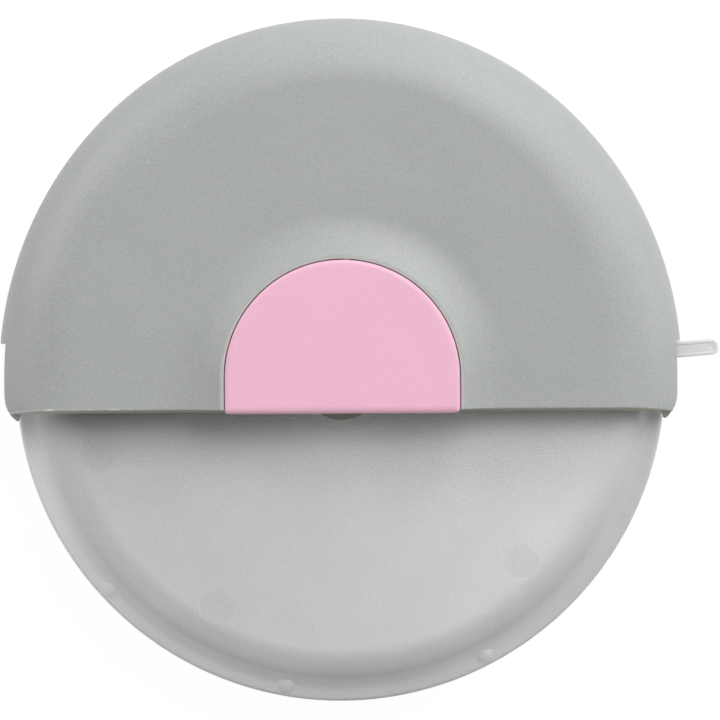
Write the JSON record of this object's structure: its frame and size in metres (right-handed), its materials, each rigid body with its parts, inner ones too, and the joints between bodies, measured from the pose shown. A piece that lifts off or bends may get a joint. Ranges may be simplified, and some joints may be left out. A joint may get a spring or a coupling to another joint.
{
  "type": "palm wheel cutter",
  "caption": "Palm-held wheel cutter: a rounded two-shell grip carries a round blade on a hub axle, and a frosted half-disc guard swings up into the grip by its finger tab.",
  "frame": {"origin": "where the axle's line meets the flat outer face of the rear hub cover, on which the part lies", "axes": "+Z along the axle out of the front face, +Y towards the palm, +X across the grip towards the finger tab of the closed guard"},
  "size_m": [0.1154, 0.1098, 0.0255],
  "materials": {
    "grip_shell": "fine satin moulding texture",
    "hub_cover": "soft satin",
    "guard": "frosted, translucent",
    "blade": "circular ground, sharpened on both faces",
    "bearing": "smooth moulded",
    "axle": "turned"
  },
  "bodies": {
    "grip": {"front_shell": "grip_shell", "rear_shell": "grip_shell", "front_hub_cover": "hub_cover", "rear_hub_cover": "hub_cover", "axle_barrel": "axle", "axle_screw": "axle", "front_thrust_washer": "axle", "rear_thrust_washer": "axle"},
    "guard": {"guard_front": "guard", "guard_rear": "guard"},
    "wheel": {"blade": "blade", "front_blade_hub": "bearing", "rear_blade_hub": "bearing"}
  },
  "joints": [
    {"name": "guard_swing", "type": "hinge", "parent": "grip", "child": "guard", "pos_m": [0, 0, 0.01275], "axis": [0, 0, -1], "range_deg": [0, 188.5]},
    {"name": "blade_spin", "type": "hinge", "parent": "grip", "child": "wheel", "pos_m": [0, 0, 0.01275], "axis": [0, 0, 1], "continuous": true}
  ]
}
